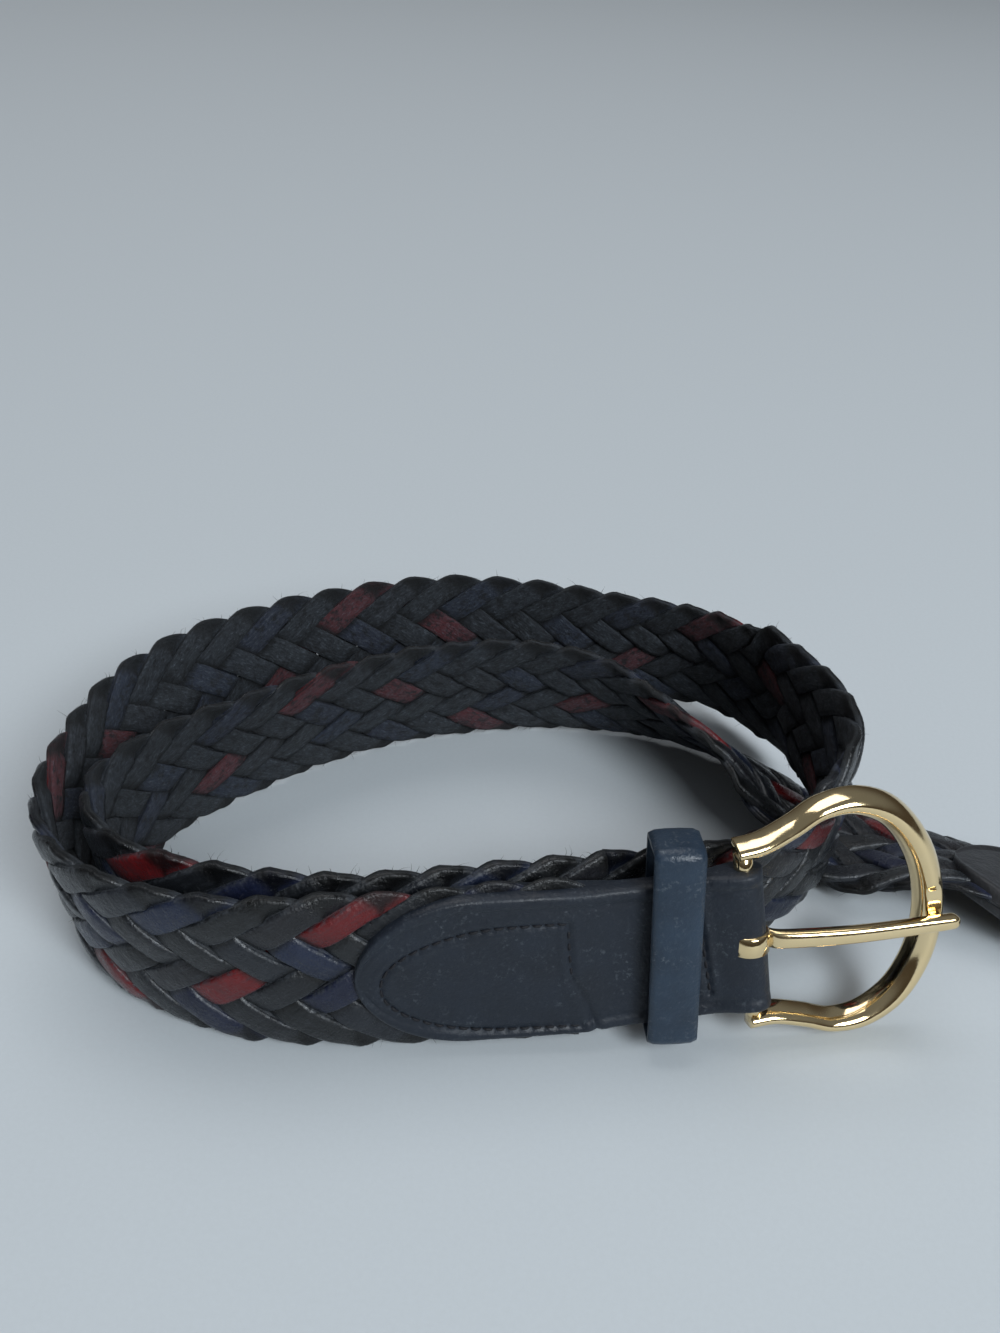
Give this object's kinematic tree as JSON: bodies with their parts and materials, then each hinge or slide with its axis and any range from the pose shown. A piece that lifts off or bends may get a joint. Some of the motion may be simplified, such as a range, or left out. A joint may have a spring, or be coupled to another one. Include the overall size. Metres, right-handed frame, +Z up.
{
  "type": "braided leather belt",
  "caption": "Braided leather belt standing on edge in a loose spiral, with a brass D buckle, a leather keeper and a flat free tip.",
  "frame": {"origin": "under the middle of the whole belt's box, on the surface it stands on", "axes": "+X to the right along the front run, towards the free tip; +Y away from the front; +Z up, across the strap's width"},
  "size_m": [0.2816, 0.1258, 0.0524],
  "materials": {
    "braid_leather": "worn charcoal with navy and dark red strands",
    "tab_leather": "smooth semi-matt charcoal navy",
    "buckle_brass": "polished pale gold"
  },
  "bodies": {
    "strap": {"braid_outer_turn": "braid_leather", "braid_inner_turn": "braid_leather", "buckle_tab": "tab_leather", "keeper_loop": "tab_leather", "tip_tab": "tab_leather"},
    "frame": {"buckle_frame": "buckle_brass"},
    "prong": {"buckle_prong": "buckle_brass"}
  },
  "joints": [
    {"name": "frame_hinge", "type": "hinge", "parent": "strap", "child": "frame", "pos_m": [0.00113, -0.05024, 0.02453], "axis": [0.1789, -0.2049, -0.9623], "range_deg": [-10, 45]},
    {"name": "prong_hinge", "type": "hinge", "parent": "frame", "child": "prong", "pos_m": [0.00113, -0.05024, 0.02453], "axis": [0.1789, -0.2049, -0.9623], "range_deg": [0, 80]}
  ]
}
